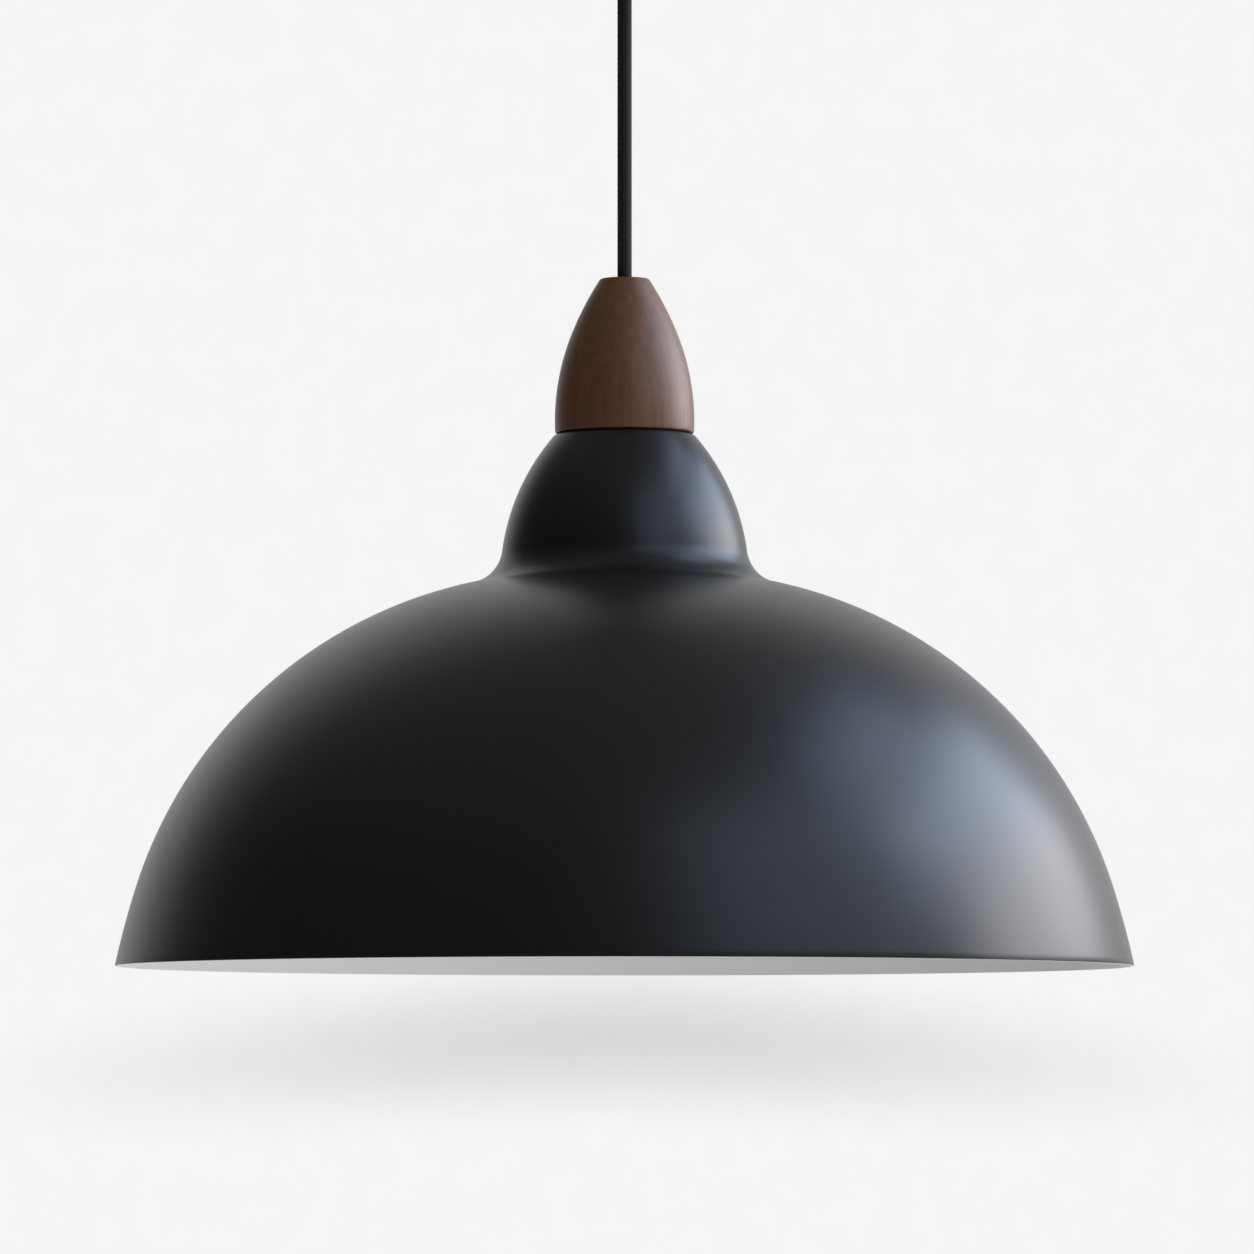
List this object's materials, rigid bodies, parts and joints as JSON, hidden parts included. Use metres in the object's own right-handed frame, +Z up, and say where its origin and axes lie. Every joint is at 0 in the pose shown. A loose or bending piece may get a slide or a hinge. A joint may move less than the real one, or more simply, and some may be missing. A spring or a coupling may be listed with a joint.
{
  "type": "pendant ceiling light",
  "caption": "Pendant light: spun metal dome shade, black outside and white inside, under a turned dark wood cap, hung on a black textile cord from a ceiling cup.",
  "frame": {"origin": "centre of the ceiling bracket's upper face, in the ceiling plane, midway between its two screw slots", "axes": "+Z up into the ceiling, with the cord and lamp hanging along -Z; +X along the line of the two screw slots; +Y away from the viewer"},
  "size_m": [0.42, 0.42, 0.4461],
  "materials": {
    "black_coat": "satin black powder coat",
    "white_coat": "satin white powder coat",
    "walnut": "satin, dark stained",
    "black_textile": "matt braid",
    "black_plastic": "matt",
    "black_rubber": "matt",
    "pale_plastic": "matt",
    "zinc_steel": "satin, zinc plated",
    "brass": "satin",
    "porcelain": "unglazed",
    "core_brown": "satin",
    "core_blue": "satin",
    "clear_glass": "gloss",
    "bulb_metal": "satin",
    "black_vitrite": "gloss",
    "phosphor": "satin"
  },
  "bodies": {
    "ceiling": {"ceiling_bracket": "zinc_steel", "canopy_cup": "black_coat", "canopy_screws": "zinc_steel", "supply_block": "pale_plastic", "supply_inserts": "brass", "supply_screws": "zinc_steel", "feed_live": "core_brown", "feed_neutral": "core_blue", "gland_body": "black_plastic", "gland_washer": "zinc_steel", "gland_nut": "zinc_steel", "gland_screw": "pale_plastic", "cord_stub": "black_textile"},
    "cord_turn": {"cord_twist": "black_textile"},
    "cord_knuckle": {"cord_bend": "black_textile"},
    "pendant": {"cord": "black_textile", "wood_cap": "walnut", "cap_insert": "brass", "cap_ring": "black_rubber", "nipple": "zinc_steel", "locknut": "zinc_steel", "holder_cap": "black_plastic", "grip_block": "pale_plastic", "grip_saddle": "pale_plastic", "grip_screws": "zinc_steel", "core_live": "core_brown", "core_neutral": "core_blue", "holder_insert": "porcelain", "live_terminal": "brass", "neutral_terminal": "brass", "terminal_screws": "brass", "screw_shell": "brass", "holder_body": "black_plastic", "shade": "black_coat", "shade_lining": "white_coat", "shade_washer": "black_rubber", "shade_ring": "black_plastic"},
    "bulb_thread": {"bulb_tip": "bulb_metal"},
    "bulb": {"bulb_insulator": "black_vitrite", "bulb_driver": "pale_plastic", "bulb_shell": "bulb_metal", "bulb_glass": "clear_glass", "bulb_stem": "clear_glass", "bulb_leads": "zinc_steel", "bulb_filaments": "phosphor"}
  },
  "joints": [
    {"name": "head_turn", "type": "hinge", "parent": "ceiling", "child": "cord_turn", "pos_m": [0, 0, -0.037], "axis": [0, 0, 1], "range_deg": [-90, 90], "stiffness_Nm_per_rad": 0.01},
    {"name": "swing_side", "type": "hinge", "parent": "cord_turn", "child": "cord_knuckle", "pos_m": [0, 0, -0.037], "axis": [0, 1, 0], "range_deg": [-25, 25]},
    {"name": "swing_front", "type": "hinge", "parent": "cord_knuckle", "child": "pendant", "pos_m": [0, 0, -0.037], "axis": [1, 0, 0], "range_deg": [-25, 25]},
    {"name": "bulb_travel", "type": "slide", "parent": "pendant", "child": "bulb_thread", "axis": [0, 0, -1], "range_m": [0, 0.01814]},
    {"name": "bulb_turn", "type": "hinge", "parent": "bulb_thread", "child": "bulb", "pos_m": [0, 0, -0.25], "axis": [0, 0, -1], "range_deg": [0, 1800]}
  ],
  "couplings": [
    {"joint": "bulb_turn", "follows": "bulb_travel", "rad_per_m": 1731.6}
  ]
}
